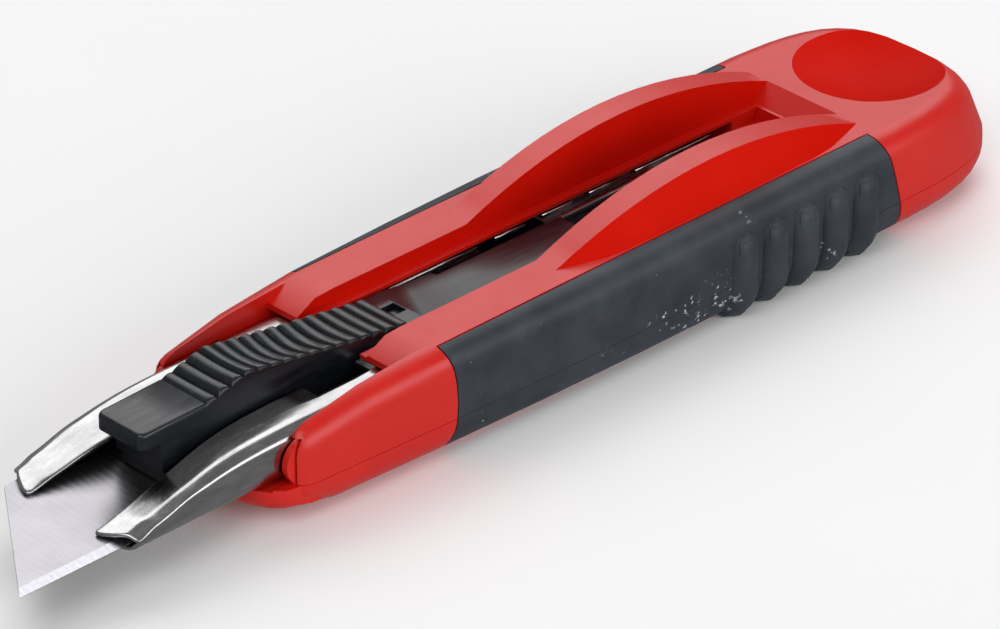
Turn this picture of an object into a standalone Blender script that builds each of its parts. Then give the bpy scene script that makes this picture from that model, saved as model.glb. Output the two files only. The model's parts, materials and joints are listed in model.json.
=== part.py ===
"""Retractable utility knife: two-shell handle, steel channel, sliding blade and a spare-blade hatch.

Every shape is drawn in millimetres in the knife's own frame and scaled to metres as it becomes a
mesh.  X runs back along the knife from the blade's point, Y across it (the cutting edge is at -Y)
and Z up from the flat underside.  The KNIFE empty moves that frame so that the world origin is
under the middle of the knife.
"""
import math

import bmesh
import bpy
from mathutils import Vector

MM = 0.001

# Overall form
LENGTH = 161.0             # blade point to the back of the handle
GAP = 0.3                  # clearance between pieces that move past each other
JOIN = 0.2                 # clearance between pieces that are fixed together

# Blade: a standard two-ended trapezoid utility blade
BLADE_LENGTH = 61.0
BLADE_WIDTH = 19.0
BLADE_THICK = 0.6
BLADE_SLANT = 14.0         # how far each end leans over the blade's width
BLADE_BEVEL = 1.4          # width of the ground cutting edge
BLADE_Z = 6.3              # underside of the fitted blade
NOTCH_SPACING = 12.6       # between the two notches in the blade's back
NOTCH_WIDTH = 3.2
NOTCH_DEPTH = 2.6

# Handle shells
NOSE_X = 39.0              # front of the side cheeks
NOSE_RISE_X = 62.0         # where the cheeks' rising top meets the level top face
NOSE_BEND_X = 50.0         # where that top falls more steeply
TOP_Z = 14.9
SEAM_Z = 5.4               # the level where the two shells meet
TOP_ROUND = 3.1
BOTTOM_ROUND = 5.0
NOSE_ROUND = 2.6           # the cheeks' upright front corners
HALF_WIDTH_NOSE = 13.2
HALF_WIDTH_MAX = 15.4
WIDEST_X = 103.0
TAIL_ROUND_X = 138.0       # where the plan outline starts to round off
TAIL_POWER = 3.0           # how square that rounding is
TAIL_STEPS = 10
TAIL_LEAN = 4.0            # how far the back leans in towards the top
TAIL_DRAFT = 0.09          # share of the width that the sides lose there
SIDE_STATIONS = (46.0, 50.0, 56.0, 62.0, 70.0, 78.0, 86.0, 94.0, 103.0, 115.0, 127.0, 138.0)
WAIST_Z = 6.6              # below it the walls belong to the lower form, above it to the upper
CHIN_X = 46.0              # where the underside starts to rise towards the nose
CHIN_RISE = 1.8
CHIN_SHARE = 0.4           # how much of the bottom rounding the nose gets
GRIP_THICK = 1.2
GRIP_EDGE_Y = 12.0         # inner edge of the soft grips, above and below
GRIP_FRONT_X = 61.4
GRIP_REAR_X = 134.6

# Steel channel
CHANNEL_FRONT_X = 15.4
CHANNEL_REAR_X = 128.0
CHANNEL_HALF = 10.9
CHANNEL_SHEET = 0.6
CHANNEL_FLOOR_Z = 5.4      # its outer underside
SHOULDER_Z = 11.1
LIP_Z = 12.2
LIP_INNER_Y = 4.6

# Slot and fins on top of the handle
SLOT_HALF = 6.0
LEDGE_HALF = 4.8
LEDGE_Z = 12.9
SLOT_END_X = 133.4
FIN_FRONT_X = 84.0
FIN_REAR_X = 136.0
FIN_RISE = 5.2
DISH_X = 148.4
DISH_RADIUS = 9.8
DISH_DEPTH = 2.3

# Sliding carriage
SLIDE_TRAVEL = 24.0
SLIDER_HALF = 3.75
SLIDER_FRONT_X = 24.0
FOOT_FRONT_X = 27.0
PAD_END_X = 33.0
CREST_X = 39.5
RIBS_END_X = 65.4
PAD_Z = 15.6
CREST_Z = 17.4
RIBS_END_Z = 13.3
RIB_COUNT = 16
RIB_HEIGHT = 0.75
TAIL_END_X = 97.0

# Spare-blade hatch in the underside
HATCH_FRONT_X = 56.0
HATCH_HALF = 10.2
HATCH_PLATE = 1.5
HINGE_X = 121.6
HINGE_Z = 2.0
HINGE_PIN_RADIUS = 0.8
BARREL_HALF = 5.0
POCKET_TOP_Z = 4.2

# Fasteners
CHANNEL_RIVET_X = 126.2
CHANNEL_RIVET_Y = 6.0
RIVET_RADIUS = 1.2
SCREW_PLACES = (("front_left", 134.5, 9.4), ("front_right", 134.5, -9.4), ("rear", 152.0, 0.0))


# ---------------------------------------------------------------- scene and materials

for old in list(bpy.data.objects):
    bpy.data.objects.remove(old, do_unlink=True)

PARTS = bpy.data.collections.new("utility_knife")
CUTTERS = bpy.data.collections.new("cutters")
for collection in (PARTS, CUTTERS):
    bpy.context.scene.collection.children.link(collection)

KNIFE = bpy.data.objects.new("knife_frame", None)
KNIFE.location = (-LENGTH / 2 * MM, 0, 0)
PARTS.objects.link(KNIFE)


def make_material(name, colour, roughness, metallic=0.0):
    material = bpy.data.materials.new(name)
    material.use_nodes = True
    shader = material.node_tree.nodes["Principled BSDF"]
    shader.inputs["Base Color"].default_value = (*colour, 1.0)
    shader.inputs["Roughness"].default_value = roughness
    shader.inputs["Metallic"].default_value = metallic
    return material


RED_ABS = make_material("red_abs", (0.56, 0.016, 0.010), 0.35)
SOFT_GRIP = make_material("soft_grip", (0.032, 0.038, 0.044), 0.6)
BLACK_NYLON = make_material("black_nylon", (0.015, 0.016, 0.018), 0.38)
CHANNEL_STEEL = make_material("channel_steel", (0.62, 0.61, 0.59), 0.18, 1.0)
BLADE_STEEL = make_material("blade_steel", (0.55, 0.54, 0.53), 0.3, 1.0)
SPRING_STEEL = make_material("spring_steel", (0.45, 0.44, 0.43), 0.3, 1.0)
ZINC_STEEL = make_material("zinc_steel", (0.5, 0.5, 0.5), 0.35, 1.0)


# ---------------------------------------------------------------- modelling helpers

def make_object(name, bm, material=None, origin=(0, 0, 0), collection=PARTS):
    """Turns a bmesh drawn in millimetres into an object in metres whose origin is at `origin`."""
    bmesh.ops.translate(bm, vec=-Vector(origin), verts=bm.verts)
    bmesh.ops.scale(bm, vec=(MM, MM, MM), verts=bm.verts)
    bmesh.ops.recalc_face_normals(bm, faces=bm.faces)
    mesh = bpy.data.meshes.new(name)
    bm.to_mesh(mesh)
    bm.free()
    mesh.shade_smooth()
    mesh.set_sharp_from_angle(angle=math.radians(35))
    if material:
        mesh.materials.append(material)
    obj = bpy.data.objects.new(name, mesh)
    obj.parent = KNIFE
    obj.location = Vector(origin) * MM
    collection.objects.link(obj)
    return obj


def make_cutter(name, bm):
    cutter = make_object(name, bm, collection=CUTTERS)
    cutter.display_type = "WIRE"
    cutter.hide_render = True
    return cutter


def combine(obj, tool, operation="DIFFERENCE"):
    modifier = obj.modifiers.new(tool.name, "BOOLEAN")
    modifier.object = tool
    modifier.operation = operation
    modifier.solver = "EXACT"


def box(x0, x1, y0, y1, z0, z1):
    bm = bmesh.new()
    bmesh.ops.create_cube(bm, size=1.0)
    bmesh.ops.scale(bm, vec=(x1 - x0, y1 - y0, z1 - z0), verts=bm.verts)
    bmesh.ops.translate(bm, vec=((x0 + x1) / 2, (y0 + y1) / 2, (z0 + z1) / 2), verts=bm.verts)
    return bm


def across(half, x0, x1, z0, z1):
    """A box that reaches the same way to both sides of the knife's middle plane."""
    return box(x0, x1, -half, half, z0, z1)


def cylinder(radius, start, end, segments=24):
    """A cylinder between two points."""
    start = Vector(start)
    end = Vector(end)
    bm = bmesh.new()
    bmesh.ops.create_cone(bm, cap_ends=True, segments=segments, radius1=radius, radius2=radius,
                          depth=(end - start).length)
    turn = Vector((0, 0, 1)).rotation_difference(end - start).to_matrix()
    bmesh.ops.rotate(bm, matrix=turn, verts=bm.verts)
    bmesh.ops.translate(bm, vec=(start + end) / 2, verts=bm.verts)
    return bm


def side_prism(outline, y0, y1):
    """An outline drawn in side view, as (x, z) points, carried across from y0 to y1."""
    bm = bmesh.new()
    face = bm.faces.new([bm.verts.new((x, y0, z)) for x, z in outline])
    moved = bmesh.ops.extrude_face_region(bm, geom=[face])
    verts = [item for item in moved["geom"] if isinstance(item, bmesh.types.BMVert)]
    bmesh.ops.translate(bm, vec=(0, y1 - y0, 0), verts=verts)
    return bm


def plan_prism(outline, z0, z1):
    """An outline drawn in plan, as (x, y) points, carried up from z0 to z1."""
    bm = bmesh.new()
    face = bm.faces.new([bm.verts.new((x, y, z0)) for x, y in outline])
    moved = bmesh.ops.extrude_face_region(bm, geom=[face])
    verts = [item for item in moved["geom"] if isinstance(item, bmesh.types.BMVert)]
    bmesh.ops.translate(bm, vec=(0, 0, z1 - z0), verts=verts)
    return bm


# ---------------------------------------------------------------- handle form

def half_width(x):
    """Half the handle's width at the seam: a slow swell to WIDEST_X, then a rounded end."""
    if x < WIDEST_X:
        swell = math.sin(math.pi / 2 * (x - NOSE_X) / (WIDEST_X - NOSE_X))
        return HALF_WIDTH_NOSE + (HALF_WIDTH_MAX - HALF_WIDTH_NOSE) * swell
    if x < TAIL_ROUND_X:
        return HALF_WIDTH_MAX
    reach = min(1.0, (x - TAIL_ROUND_X) / (LENGTH - TAIL_ROUND_X))
    return HALF_WIDTH_MAX * (1 - reach ** TAIL_POWER) ** (1 / TAIL_POWER)


def nose_drop(x):
    """How far the cheeks' top has fallen below the level top face: two straight slopes."""
    gentle = 0.062 * max(0.0, NOSE_RISE_X - max(x, NOSE_BEND_X))
    steep = 0.17 * max(0.0, NOSE_BEND_X - x)
    return gentle + steep


def plan_ring(shrink, front_shrink):
    """Half of the plan outline, from the front middle to the tail, moved in by `shrink`."""
    front_x = NOSE_X + front_shrink
    corner = max(0.8, NOSE_ROUND - front_shrink)
    corner_half = half_width(front_x + corner) - shrink
    ring = []
    for step in range(4):
        angle = math.pi / 2 * step / 3
        ring.append((front_x + corner * (1 - math.cos(angle)),
                     corner_half - corner * (1 - math.sin(angle))))
    ring += [(x, half_width(x) - shrink) for x in SIDE_STATIONS]
    for step in range(1, TAIL_STEPS):
        reach = math.sin(step * math.pi / 2 / TAIL_STEPS)
        ring.append((TAIL_ROUND_X + (LENGTH - TAIL_ROUND_X - shrink) * reach,
                     (HALF_WIDTH_MAX - shrink) * (1 - reach ** TAIL_POWER) ** (1 / TAIL_POWER)))
    return ring


def handle_form(inset=0.0):
    """The whole outer form of the handle, or the same form with its skin `inset` further in."""
    bottom_round = BOTTOM_ROUND - inset
    top_round = TOP_ROUND - inset
    levels = []
    for step in range(7):
        angle = math.pi / 2 * step / 6
        shrink = inset + bottom_round * (1 - math.sin(angle))
        levels.append((inset + bottom_round * (1 - math.cos(angle)), shrink,
                       inset + CHIN_SHARE * (shrink - inset)))
    levels.append((WAIST_Z, inset, inset))
    for step in range(6):
        angle = math.pi / 2 * step / 5
        shrink = inset + top_round * (1 - math.cos(angle))
        levels.append((TOP_Z - inset - top_round * (1 - math.sin(angle)), shrink, shrink))

    bm = bmesh.new()
    rings = []
    for z, shrink, front_shrink in levels:
        half = plan_ring(shrink, front_shrink)
        outline = half + [(LENGTH - shrink, 0.0)] + [(x, -y) for x, y in reversed(half)]
        ring = []
        for x, y in outline:
            height = z
            behind = max(0.0, (x - TAIL_ROUND_X) / (LENGTH - TAIL_ROUND_X))
            if z > WAIST_Z:
                rise = (z - WAIST_Z) / (TOP_Z - WAIST_Z)
                height -= nose_drop(x)
                x -= TAIL_LEAN * behind ** 2 * rise
                y *= 1 - TAIL_DRAFT * behind * rise
            elif z < WAIST_Z:
                height += CHIN_RISE * max(0.0, CHIN_X - x) / (CHIN_X - NOSE_X) * (1 - z / WAIST_Z)
            ring.append(bm.verts.new((x, y, height)))
        rings.append(ring)
    count = len(rings[0])
    for ring, following in zip(rings, rings[1:]):
        for index in range(count):
            after = (index + 1) % count
            bm.faces.new((ring[index], ring[after], following[after], following[index]))
    for ring in (rings[0], rings[-1]):
        for index in range(count // 2 - 1):
            bm.faces.new((ring[index], ring[index + 1], ring[-index - 2], ring[-index - 1]))
        middle = count // 2
        bm.faces.new((ring[middle - 1], ring[middle], ring[middle + 1]))
    bmesh.ops.triangulate(bm, faces=bm.faces[:])
    return bm


def grip_region(side, ease):
    """The stretch of one side that the soft grip covers, with curved front and rear edges."""
    front = [(GRIP_FRONT_X + ease + 1.6 * math.sin(math.pi * step / 6), 16.0 - step * 17.0 / 6)
             for step in range(7)]
    rear = [(GRIP_REAR_X - ease + 4.0 * math.sin(math.pi / 2 * step / 5), 16.0 - step * 17.0 / 5)
            for step in range(6)]
    outline = front + list(reversed(rear))
    return side_prism(outline, side * (GRIP_EDGE_Y + ease), side * 20.0)


def finger_rib(side, x):
    """One sausage-shaped finger rib: down the side wall and round under the lower corner."""
    radius = 2.35
    path_half = HALF_WIDTH_MAX - 0.95
    corner = BOTTOM_ROUND - 0.95
    points = [(side * path_half, z) for z in (11.9, 11.3, 10.2, 8.0, 5.9)]
    for step in range(6):
        angle = math.radians(12.5 * step)
        points.append((side * (path_half - corner + corner * math.cos(angle)),
                       BOTTOM_ROUND - corner * math.sin(angle)))
    scale = [0.5, 0.85] + [1.0] * (len(points) - 2)
    curve = bpy.data.curves.new("finger_rib", "CURVE")
    curve.dimensions = "3D"
    curve.bevel_depth = radius * MM
    curve.bevel_resolution = 2
    curve.use_fill_caps = True
    spline = curve.splines.new("POLY")
    spline.points.add(len(points) - 1)
    for point, (y, z), size in zip(spline.points, points, scale):
        point.co = (x * MM, y * MM, z * MM, 1.0)
        point.radius = size
    tube = bpy.data.objects.new("finger_rib", curve)
    CUTTERS.objects.link(tube)
    mesh = bpy.data.meshes.new_from_object(tube.evaluated_get(bpy.context.evaluated_depsgraph_get()))
    bpy.data.objects.remove(tube)
    bm = bmesh.new()
    bm.from_mesh(mesh)
    bpy.data.meshes.remove(mesh)
    bmesh.ops.scale(bm, vec=(1 / MM, 1 / MM, 1 / MM), verts=bm.verts)
    bmesh.ops.remove_doubles(bm, verts=bm.verts, dist=0.01)
    return bm


def fin(side):
    """One arched fin beside the slot: a circular-arc crest over a base that flares outwards."""
    stations = 16
    rings = []
    bm = bmesh.new()
    for step in range(stations + 1):
        along = step / stations
        x = FIN_FRONT_X + (FIN_REAR_X - FIN_FRONT_X) * along
        arch = 4 * along * (1 - along)
        spread = min(1.0, 3.4 * min(along, 1 - along) / 0.5)
        crest = TOP_Z + FIN_RISE * arch
        outer = 9.3 + 0.3 * arch
        base = outer + 0.1 + (GRIP_EDGE_Y - 0.35 - outer) * spread
        section = [(5.0, TOP_Z - 0.9), (5.0, crest), (outer, crest), (base, TOP_Z - 0.05),
                   (base, TOP_Z - 0.9)]
        rings.append([bm.verts.new((x, side * y, z)) for y, z in section])
    for ring, following in zip(rings, rings[1:]):
        for index in range(len(ring)):
            after = (index + 1) % len(ring)
            bm.faces.new((ring[index], ring[after], following[after], following[index]))
    bm.faces.new(rings[0])
    bm.faces.new(rings[-1])
    return bm


seam_cut_upper = make_cutter("seam_cut_upper", box(0, 200, -30, 30, -10, SEAM_Z + JOIN / 2))
seam_cut_lower = make_cutter("seam_cut_lower", box(0, 200, -30, 30, SEAM_Z - JOIN / 2, 40))
recess_core = make_cutter("recess_core", handle_form(GRIP_THICK + JOIN / 2))
grip_core = make_cutter("grip_core", handle_form(GRIP_THICK))
SIDES = (("left", 1), ("right", -1))

recesses = []
for side_name, side in SIDES:
    recess = make_cutter("grip_recess_" + side_name, grip_region(side, 0.0))
    combine(recess, recess_core)
    recesses.append(recess)


def add_rear_hollow(shell, level, space, boss_radius):
    """Hollows the rear of one shell, leaving a round boss standing at each screw."""
    hollow = make_cutter("rear_hollow_" + level, space)
    for name, x, y in SCREW_PLACES:
        boss = cylinder(boss_radius, (x, y, -5), (x, y, 25))
        combine(hollow, make_cutter("%s_boss_%s" % (level, name), boss))
    combine(shell, hollow)


# ---------------------------------------------------------------- upper shell

def build_upper_shell():
    shell = make_object("upper_shell", handle_form(), RED_ABS)
    combine(shell, seam_cut_upper)
    for recess in recesses:
        combine(shell, recess)
    for side_name, side in SIDES:
        combine(shell, make_cutter("fin_" + side_name, fin(side)), "UNION")

    tunnel = across(CHANNEL_HALF + JOIN, 20, CHANNEL_REAR_X + 0.6, 0, LIP_Z + JOIN)
    combine(shell, make_cutter("channel_tunnel", tunnel))
    facet = [(20, 9.0), (56.4, 9.0), (56.4, 13.2), (59.7, TOP_Z + 0.05), (59.7, 30), (20, 30)]
    combine(shell, make_cutter("nose_opening",
                               side_prism(facet, -CHANNEL_HALF - JOIN, CHANNEL_HALF + JOIN)))
    slot = [(50, LEDGE_Z), (SLOT_END_X, LEDGE_Z), (FIN_REAR_X + 0.3, TOP_Z + 0.15),
            (FIN_REAR_X + 0.3, 30), (50, 30)]
    combine(shell, make_cutter("slot_upper", side_prism(slot, -SLOT_HALF, SLOT_HALF)))
    combine(shell, make_cutter("slot_lower",
                               across(LEDGE_HALF, 50, SLOT_END_X - 0.4, 11.0, LEDGE_Z + 1)))
    wall_room = across(CHANNEL_HALF + 1.3, 30, 48.6, 0, 11.3)
    combine(shell, make_cutter("cheek_wall_room", wall_room))

    ball_radius = (DISH_RADIUS ** 2 + DISH_DEPTH ** 2) / (2 * DISH_DEPTH)
    ball = bmesh.new()
    bmesh.ops.create_uvsphere(ball, u_segments=48, v_segments=48, radius=ball_radius)
    bmesh.ops.translate(ball, vec=(DISH_X, 0, TOP_Z - DISH_DEPTH + ball_radius), verts=ball.verts)
    combine(shell, make_cutter("thumb_dish", ball))

    add_rear_hollow(shell, "upper", across(11.4, 130.8, 155.5, 0, 10.2), 2.9)
    for name, x, y in SCREW_PLACES:
        hole = cylinder(1.6, (x, y, 0), (x, y, 11.0), 16)
        combine(shell, make_cutter("upper_hole_" + name, hole))
    return shell


# ---------------------------------------------------------------- lower shell

def nose_tongue():
    """The floor's rounded front, which reaches ahead of the cheeks under the channel."""
    half = 12.5
    reach = 5.2
    outline = [(NOSE_X + 4, half), (NOSE_X + 4, -half)]
    for step in range(13):
        angle = -math.pi / 2 + math.pi * step / 12
        outline.append((NOSE_X - reach * math.cos(angle), half * math.sin(angle)))
    bm = plan_prism(outline, 2.3, SEAM_Z - JOIN / 2)
    lower_front = [edge for edge in bm.edges
                   if all(vert.co.z < 2.5 and vert.co.x < NOSE_X + 0.1 for vert in edge.verts)]
    bmesh.ops.bevel(bm, geom=lower_front, offset=1.8, segments=4, profile=0.5, affect="EDGES")
    return bm


def cheek_wall(side):
    """An upright wall of the lower shell inside each cheek, with a round front edge."""
    centre_x = 41.2
    centre_z = 8.05
    radius = 3.0
    outline = [(48.2, centre_z + radius), (48.2, SEAM_Z - 1.0), (39.4, SEAM_Z - 1.0)]
    for step in range(10):
        angle = math.radians(-130 - 140 * step / 9)
        outline.append((centre_x + radius * math.cos(angle), centre_z + radius * math.sin(angle)))
    inner = CHANNEL_HALF + JOIN
    return side_prism(outline, side * inner, side * (inner + 0.85))


def build_lower_shell():
    shell = make_object("lower_shell", handle_form(), RED_ABS)
    combine(shell, seam_cut_lower)
    combine(shell, make_cutter("nose_tongue", nose_tongue()), "UNION")
    for recess in recesses:
        combine(shell, recess)
    trough = across(CHANNEL_HALF + JOIN, 20, CHANNEL_REAR_X + 0.6, CHANNEL_FLOOR_Z - JOIN, 20)
    combine(shell, make_cutter("channel_trough", trough))
    for side_name, side in SIDES:
        combine(shell, make_cutter("cheek_wall_" + side_name, cheek_wall(side)), "UNION")

    pocket_half = HATCH_HALF + GAP
    hatch_rear = HINGE_X - 2.3
    pocket = across(pocket_half, HATCH_FRONT_X - GAP, hatch_rear, -2, POCKET_TOP_Z)
    combine(shell, make_cutter("magazine_pocket", pocket))
    barrel_room = across(BARREL_HALF + GAP, hatch_rear - 1, HINGE_X + 2.5, -2, 4.35)
    combine(shell, make_cutter("barrel_room", barrel_room))
    pin_bore = cylinder(HINGE_PIN_RADIUS + JOIN, (HINGE_X, -11.3, HINGE_Z),
                        (HINGE_X, 11.3, HINGE_Z), 16)
    combine(shell, make_cutter("pin_bore", pin_bore))

    nail_scoop = cylinder(6.0, (HATCH_FRONT_X - 2.4, -5.0, -4.0), (HATCH_FRONT_X - 2.4, 5.0, -4.0))
    combine(shell, make_cutter("nail_scoop", nail_scoop))
    for side_name, side in SIDES:
        x, y = CHANNEL_RIVET_X, side * CHANNEL_RIVET_Y
        rivet_hole = cylinder(RIVET_RADIUS + JOIN, (x, y, 2.2), (x, y, 8), 16)
        combine(shell, make_cutter("rivet_hole_" + side_name, rivet_hole))

    add_rear_hollow(shell, "lower", across(11.4, 130.8, 155.5, 2.9, 20), 4.0)
    for name, x, y in SCREW_PLACES:
        hole = cylinder(1.6, (x, y, -2), (x, y, 20), 16)
        combine(shell, make_cutter("lower_hole_" + name, hole))
        combine(shell, make_cutter("head_recess_" + name,
                                   cylinder(2.9, (x, y, -2), (x, y, 2.6))))
    return shell


# ---------------------------------------------------------------- soft grips

def build_grips():
    """Four over-moulded grips: one above and one below the seam on each side."""
    table_cut = make_cutter("table_cut", box(0, 200, -30, 30, -10, 0.25))
    for side_name, side in SIDES:
        region = make_cutter("grip_limit_" + side_name, grip_region(side, JOIN))
        ribs = [make_cutter("finger_rib_%s_%d" % (side_name, number + 1),
                            finger_rib(side, 110.2 + 5.3 * number)) for number in range(5)]
        for level, seam_cut in (("upper", seam_cut_upper), ("lower", seam_cut_lower)):
            grip = make_object("%s_grip_%s" % (level, side_name), handle_form(), SOFT_GRIP)
            for rib in ribs:
                combine(grip, rib, "UNION")
            combine(grip, region, "INTERSECT")
            combine(grip, grip_core)
            combine(grip, seam_cut)
            if level == "lower":
                combine(grip, table_cut)


# ---------------------------------------------------------------- blade channel

def build_channel():
    """Bent sheet: flat floor, round lower corners, upright walls and in-turned lips."""
    corner = 1.8
    arc = [(CHANNEL_HALF - corner + corner * math.cos(math.radians(angle)),
            CHANNEL_FLOOR_Z + corner - corner * math.sin(math.radians(angle)))
           for angle in (0, 30, 60, 90)]
    # x, then the heights of the lip's inner edge, of its bend and of the shoulder: the lips
    # slope down towards the blade's end
    stations = ((CHANNEL_FRONT_X, 7.3, 8.5, 7.5), (20.0, 8.6, 9.95, 9.1), (24.0, 9.9, 11.1, 10.5),
                (27.5, 11.1, LIP_Z, SHOULDER_Z), (31.0, 11.7, LIP_Z, SHOULDER_Z),
                (36.0, 12.0, LIP_Z, SHOULDER_Z), (43.0, LIP_Z, LIP_Z, SHOULDER_Z),
                (CHANNEL_REAR_X, LIP_Z, LIP_Z, SHOULDER_Z))
    bm = bmesh.new()
    rows = []
    for x, inner_z, bend_z, shoulder_z in stations:
        middle_z = inner_z + (bend_z - inner_z) * 0.45
        bend_y = 9.4 - 0.09 * max(0.0, 27.5 - x)
        right = [(LIP_INNER_Y, inner_z), (6.4, middle_z), (bend_y, bend_z),
                 (CHANNEL_HALF, shoulder_z)]
        section = [(x, y, z) for y, z in right + arc]
        if x == CHANNEL_FRONT_X:
            section[0] = (x + 1.2, LIP_INNER_Y, inner_z + 0.3)
            section[2] = (x + 0.4, bend_y, bend_z + 0.1)
            section[3] = (x + 0.8, CHANNEL_HALF, shoulder_z + 0.3)
        section += [(x, -y, z) for x, y, z in reversed(section)]
        rows.append([bm.verts.new(place) for place in section])
    for row, following in zip(rows, rows[1:]):
        for index in range(len(row) - 1):
            bm.faces.new((row[index], row[index + 1], following[index + 1], following[index]))
    channel = make_object("blade_channel", bm, CHANNEL_STEEL)
    sheet = channel.modifiers.new("sheet", "SOLIDIFY")
    sheet.thickness = CHANNEL_SHEET * MM
    sheet.offset = -1.0
    sheet.use_even_offset = True
    lip_window = box(47.2, 55.6, -7.4, -3.0, 11.0, 13.0)
    combine(channel, make_cutter("lip_window", lip_window))
    for number in range(4):
        notch_x = 84.6 + number * SLIDE_TRAVEL / 3
        notch = box(notch_x, notch_x + 3.0, 3.0, 5.9, 11.0, 13.0)
        combine(channel, make_cutter("detent_notch_%d" % (number + 1), notch))
    for side_name, side in SIDES:
        x, y = CHANNEL_RIVET_X, side * CHANNEL_RIVET_Y
        hole = cylinder(RIVET_RADIUS + JOIN, (x, y, 3), (x, y, 8), 16)
        combine(channel, make_cutter("channel_hole_" + side_name, hole))
    return channel


# ---------------------------------------------------------------- blades

def blade_shape(x0, z0):
    """A trapezoid blade lying flat, with its long ground edge at -Y and two notches in its back."""
    half = BLADE_WIDTH / 2
    middle = x0 + BLADE_LENGTH / 2
    outline = [(x0, -half), (x0 + BLADE_LENGTH, -half), (x0 + BLADE_LENGTH - BLADE_SLANT, half)]
    for centre in (middle + NOTCH_SPACING / 2, middle - NOTCH_SPACING / 2):
        outline += [(centre + NOTCH_WIDTH / 2, half), (centre + NOTCH_WIDTH / 2, half - NOTCH_DEPTH),
                    (centre - NOTCH_WIDTH / 2, half - NOTCH_DEPTH), (centre - NOTCH_WIDTH / 2, half)]
    outline.append((x0 + BLADE_SLANT, half))
    bm = plan_prism(outline, z0, z0 + BLADE_THICK)
    bmesh.ops.bisect_plane(bm, geom=bm.verts[:] + bm.edges[:] + bm.faces[:],
                           plane_co=(0, -half + BLADE_BEVEL, 0), plane_no=(0, 1, 0))
    for vert in bm.verts:
        if vert.co.y < -half + 0.01:
            centre_z = z0 + BLADE_THICK / 2
            vert.co.z = centre_z + (vert.co.z - centre_z) * 0.1
    return bm


# ---------------------------------------------------------------- sliding carriage

def build_thumb_slide():
    """The ribbed thumb piece: flat pad, steep ribbed rise, long ribbed fall and a flat tail."""
    rib_pitch = (RIBS_END_X - PAD_END_X) / RIB_COUNT
    steps_per_rib = 6
    columns = 6

    def ramp(x):
        if x < PAD_END_X:
            return PAD_Z - 0.35 * (PAD_END_X - x) / (PAD_END_X - SLIDER_FRONT_X)
        if x < CREST_X:
            return PAD_Z + (CREST_Z - PAD_Z) * (x - PAD_END_X) / (CREST_X - PAD_END_X)
        fall = (x - CREST_X) / (RIBS_END_X - CREST_X)
        return CREST_Z + (RIBS_END_Z - CREST_Z) * fall

    def top(x, y):
        height = ramp(x)
        if x < SLIDER_FRONT_X + 0.7:
            height -= 2.2 * (SLIDER_FRONT_X + 0.7 - x) ** 2
        if x > PAD_END_X:
            phase = ((x - PAD_END_X) / rib_pitch) % 1.0
            height += RIB_HEIGHT * (math.sqrt(max(0.0, 1 - (2 * phase - 1) ** 2)) - 1.0)
            scoop = math.exp(-((x - 48.5) / 8.5) ** 2)
            height -= 0.9 * scoop * (1 - (y / SLIDER_HALF) ** 2)
        return height

    xs = [SLIDER_FRONT_X, SLIDER_FRONT_X + 0.3, SLIDER_FRONT_X + 0.8, PAD_END_X - 0.01]
    xs += [PAD_END_X + rib_pitch * step / steps_per_rib
           for step in range(RIB_COUNT * steps_per_rib + 1)]
    bm = bmesh.new()
    ys = [SLIDER_HALF * (2 * column / columns - 1) for column in range(columns + 1)]
    grid = [[bm.verts.new((x, y, top(x, y))) for y in ys] for x in xs]
    for row, following in zip(grid, grid[1:]):
        for index in range(columns):
            bm.faces.new((row[index], following[index], following[index + 1], row[index + 1]))
    base = bmesh.ops.extrude_face_region(bm, geom=bm.faces[:])
    for item in base["geom"]:
        if isinstance(item, bmesh.types.BMVert):
            item.co.z = 9.1
    slide = make_object("thumb_slide", bm, BLACK_NYLON)

    combine(slide, make_cutter("pad_undercut", box(20, FOOT_FRONT_X, -10, 10, 0, 13.2)))
    combine(slide, make_cutter("rear_undercut", box(60.0, 80, -10, 10, 0, 11.0)))
    tail = [(62, 11.0), (TAIL_END_X, 11.0), (TAIL_END_X, 12.1), (73.0, 12.1), (68.6, 13.0),
            (RIBS_END_X - 0.4, 13.0), (62, 12.4)]
    combine(slide, make_cutter("tail", side_prism(tail, -4.2, 4.2)), "UNION")
    for side_name, side in SIDES:
        narrowing = box(77.0, 100, side * 3.2, side * 6.0, 5, 15)
        combine(slide, make_cutter("tail_narrowing_" + side_name, narrowing))
    combine(slide, make_cutter("hook_window", box(65.9, 68.2, -1.15, 1.15, 10, 14)))
    return slide


def build_carrier():
    """The carrier under the lips: it rides on the blade and a lug drops into the blade's notch."""
    plate_top = 8.9
    plate_base = BLADE_Z + BLADE_THICK + 0.2
    carrier = make_object("blade_carrier", across(9.6, 29.2, 62, plate_base, plate_top), BLACK_NYLON)
    notch_x = BLADE_LENGTH / 2 + NOTCH_SPACING / 2
    pieces = (
        ("carrier_foot", across(SLIDER_HALF, FOOT_FRONT_X, 31, plate_base, plate_top)),
        ("carrier_lug", box(notch_x - 1.2, notch_x + 1.2, 7.4, 9.3, BLADE_Z + 0.1, plate_top - 0.4)),
        ("carrier_spine", across(3.6, 60, 96.5, plate_base + 0.3, plate_top - 0.2)),
        ("carrier_shoe", across(9.4, 91.5, 96.5, plate_base - 0.2, 10.6)),
        ("carrier_hook", box(66.2, 67.9, -0.85, 0.85, plate_top - 1, 12.2)),
        ("spring_post", box(70.0, 75.0, -2.6, 0.6, plate_top - 1, 10.7)),
    )
    for name, shape in pieces:
        combine(carrier, make_cutter(name, shape), "UNION")
    return carrier


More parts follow.
